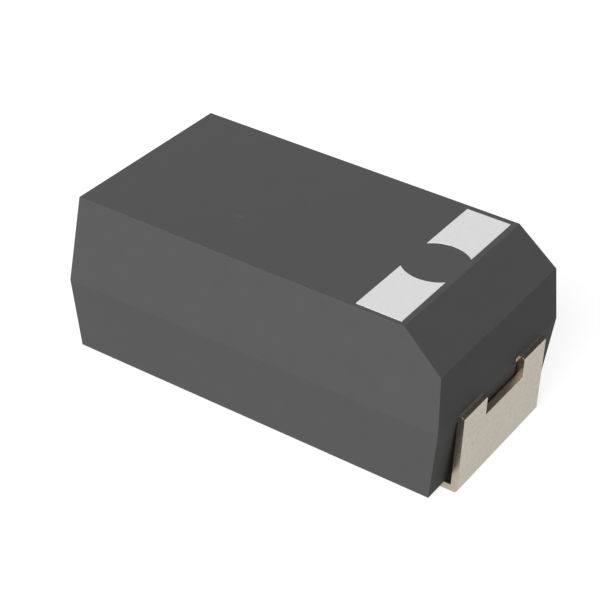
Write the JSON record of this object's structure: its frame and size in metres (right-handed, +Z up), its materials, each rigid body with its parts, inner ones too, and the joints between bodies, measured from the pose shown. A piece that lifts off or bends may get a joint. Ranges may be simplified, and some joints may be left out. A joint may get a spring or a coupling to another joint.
{
  "type": "tantalum capacitor",
  "caption": "Surface-mount moulded tantalum chip capacitor: bevelled dark block with a pale polarity stripe and folded end terminals.",
  "frame": {"origin": "centre of the footprint on the board, at the underside of the solder feet", "axes": "+X along the case towards the anode end with the bevel and the stripe, +Y across the case, +Z up from the board"},
  "size_m": [0.006, 0.0032, 0.0025],
  "materials": {
    "moulding": "dark grey silica-filled epoxy moulding, spark-eroded mould surface",
    "lead_frame": "rolled copper-alloy strip with matte tin plating",
    "ink": "white cured marking ink",
    "tantalum": "drawn tantalum wire, grey-blue metal",
    "weld": "fused metal, satin",
    "washer": "white fluoropolymer",
    "pellet": "sintered tantalum powder, dark matt",
    "polymer": "dried conductive polymer, blue-black",
    "carbon": "dried carbon paint",
    "silver": "dried silver paint",
    "adhesive": "cured silver adhesive"
  },
  "bodies": {
    "root": {"molded_case": "moulding", "anode_terminal": "lead_frame", "cathode_terminal": "lead_frame", "polarity_stripe": "ink", "tantalum_wire": "tantalum", "wire_weld": "weld", "wire_washer": "washer", "anode_pellet": "pellet", "polymer_layer": "polymer", "carbon_layer": "carbon", "silver_layer": "silver", "silver_adhesive": "adhesive"}
  },
  "joints": []
}
